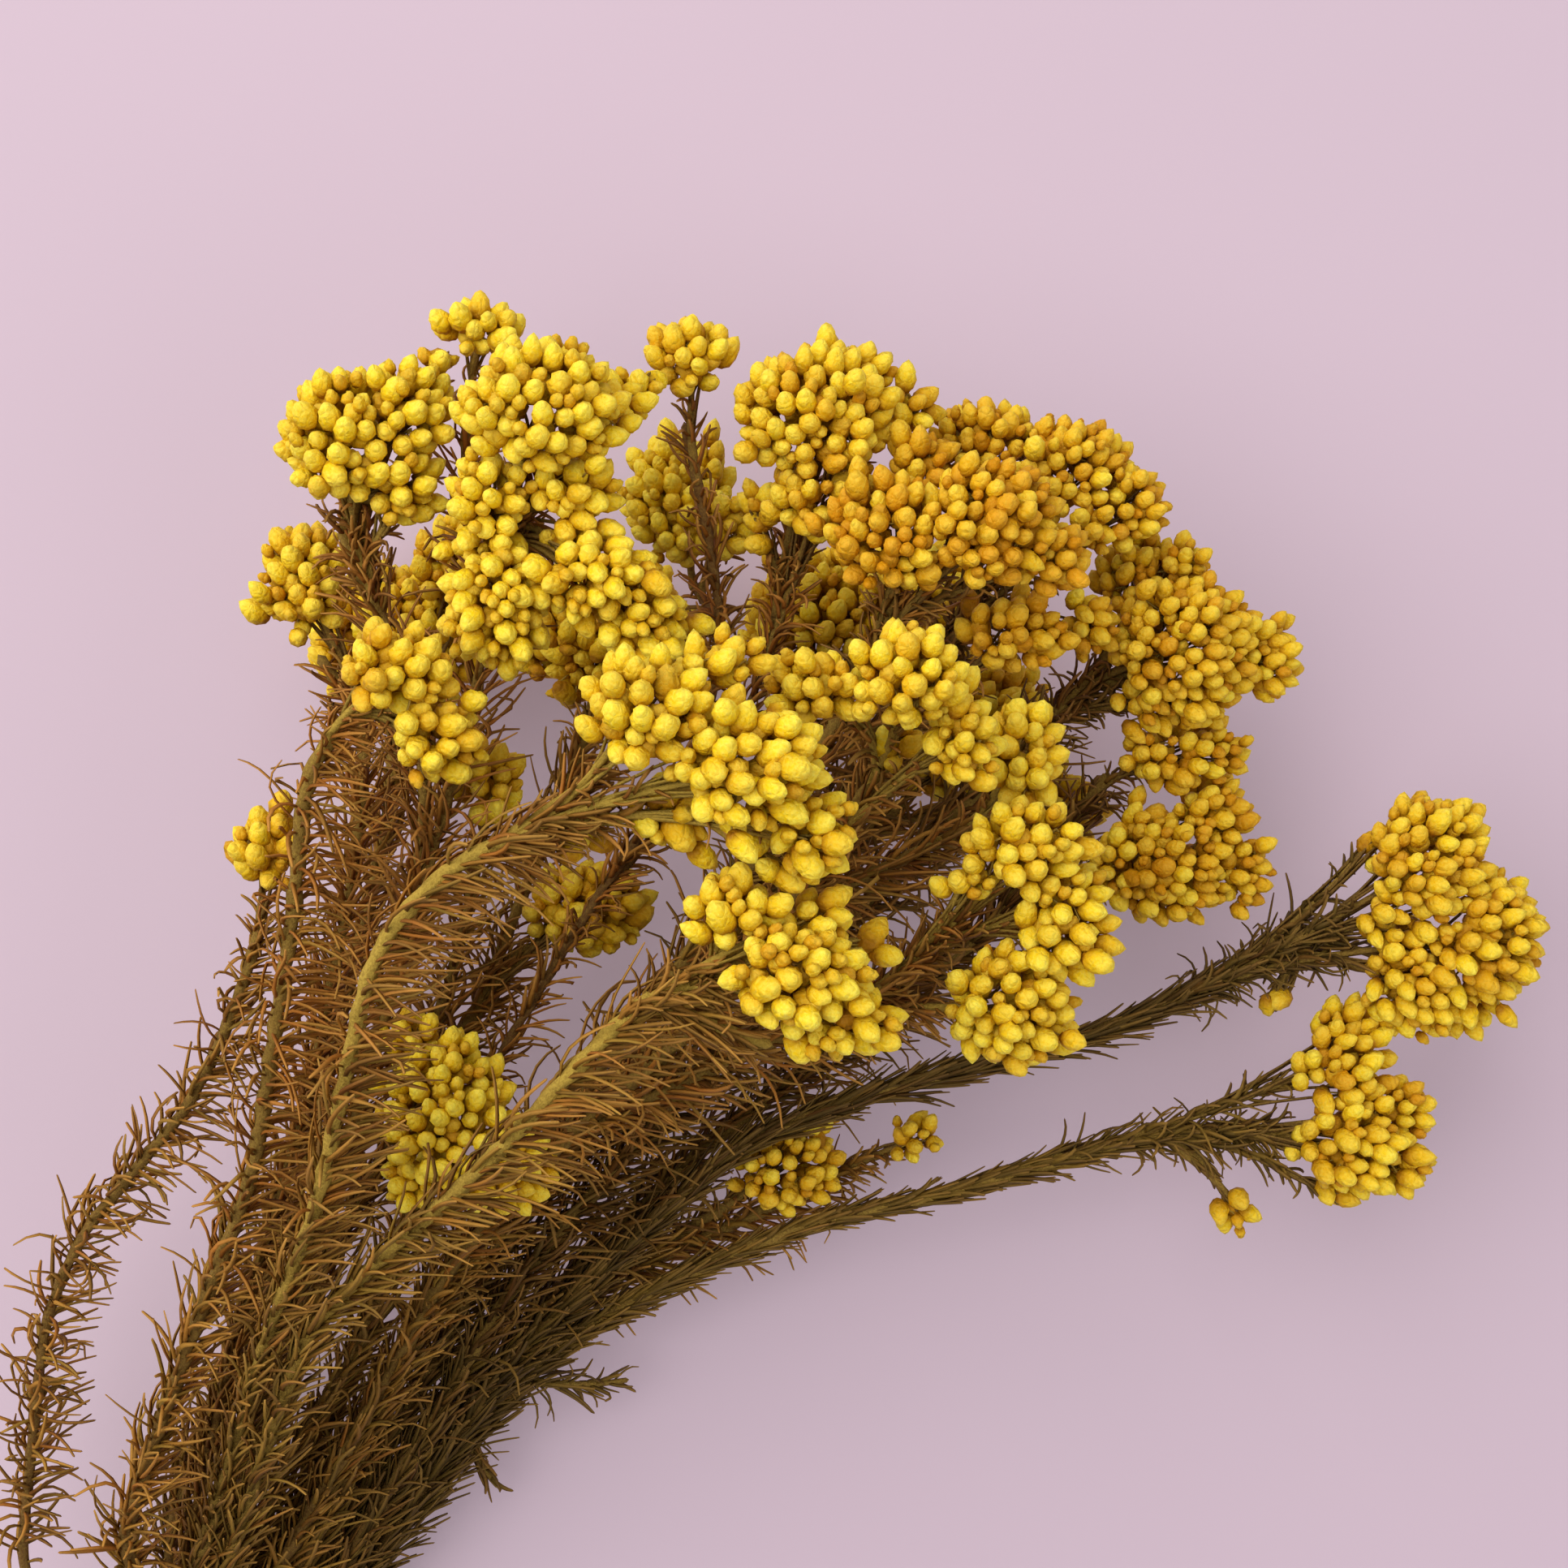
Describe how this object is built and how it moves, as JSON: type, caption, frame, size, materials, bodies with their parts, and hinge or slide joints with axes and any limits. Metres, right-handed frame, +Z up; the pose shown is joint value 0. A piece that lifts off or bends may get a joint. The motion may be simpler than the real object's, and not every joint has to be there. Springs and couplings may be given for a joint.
{
  "type": "dried rice flower bunch",
  "caption": "Tied bunch of dried rice flower lying on its side: leafy brown stems fan out into flat domes of papery yellow buds.",
  "frame": {"origin": "centre of the bounding box's bottom, on the surface the bunch lies on", "axes": "+Y along the bunch from the cut stem ends to the flower heads, +Z up from the surface it lies on, +X to the right as seen from above with the heads away from the viewer"},
  "size_m": [0.182, 0.3033, 0.0954],
  "materials": {
    "papery_yellow": "dry papery buds, matt golden yellow",
    "woolly_brown": "dry woolly stems and needle leaves, matt olive brown",
    "jute": "rough twisted twine, matt"
  },
  "bodies": {
    "root": {"head_a1": "papery_yellow", "head_b1": "papery_yellow", "head_c1": "papery_yellow", "head_c2": "papery_yellow", "head_c3": "papery_yellow", "head_c4": "papery_yellow", "head_d1": "papery_yellow", "head_d2": "papery_yellow", "head_d3": "papery_yellow", "head_d4": "papery_yellow", "head_e1": "papery_yellow", "head_e2": "papery_yellow", "head_e3": "papery_yellow", "head_f1": "papery_yellow", "head_f2": "papery_yellow", "head_g1": "papery_yellow", "head_h1": "papery_yellow", "head_i1": "papery_yellow", "head_i2": "papery_yellow", "head_j1": "papery_yellow", "head_k1": "papery_yellow", "head_k2": "papery_yellow", "head_l1": "papery_yellow", "head_m1": "papery_yellow", "head_n1": "papery_yellow", "head_o1": "papery_yellow", "head_p1": "papery_yellow", "head_p2": "papery_yellow", "head_q1": "papery_yellow", "head_q2": "papery_yellow", "head_q3": "papery_yellow", "head_r1": "papery_yellow", "head_r2": "papery_yellow", "head_s1": "papery_yellow", "stem_a": "woolly_brown", "stem_b": "woolly_brown", "stem_c": "woolly_brown", "stem_d": "woolly_brown", "stem_e": "woolly_brown", "stem_f": "woolly_brown", "stem_g": "woolly_brown", "stem_h": "woolly_brown", "stem_i": "woolly_brown", "stem_j": "woolly_brown", "stem_k": "woolly_brown", "stem_l": "woolly_brown", "stem_m": "woolly_brown", "stem_n": "woolly_brown", "stem_o": "woolly_brown", "stem_p": "woolly_brown", "stem_q": "woolly_brown", "stem_r": "woolly_brown", "stem_s": "woolly_brown", "twine_tie": "jute"}
  },
  "joints": []
}
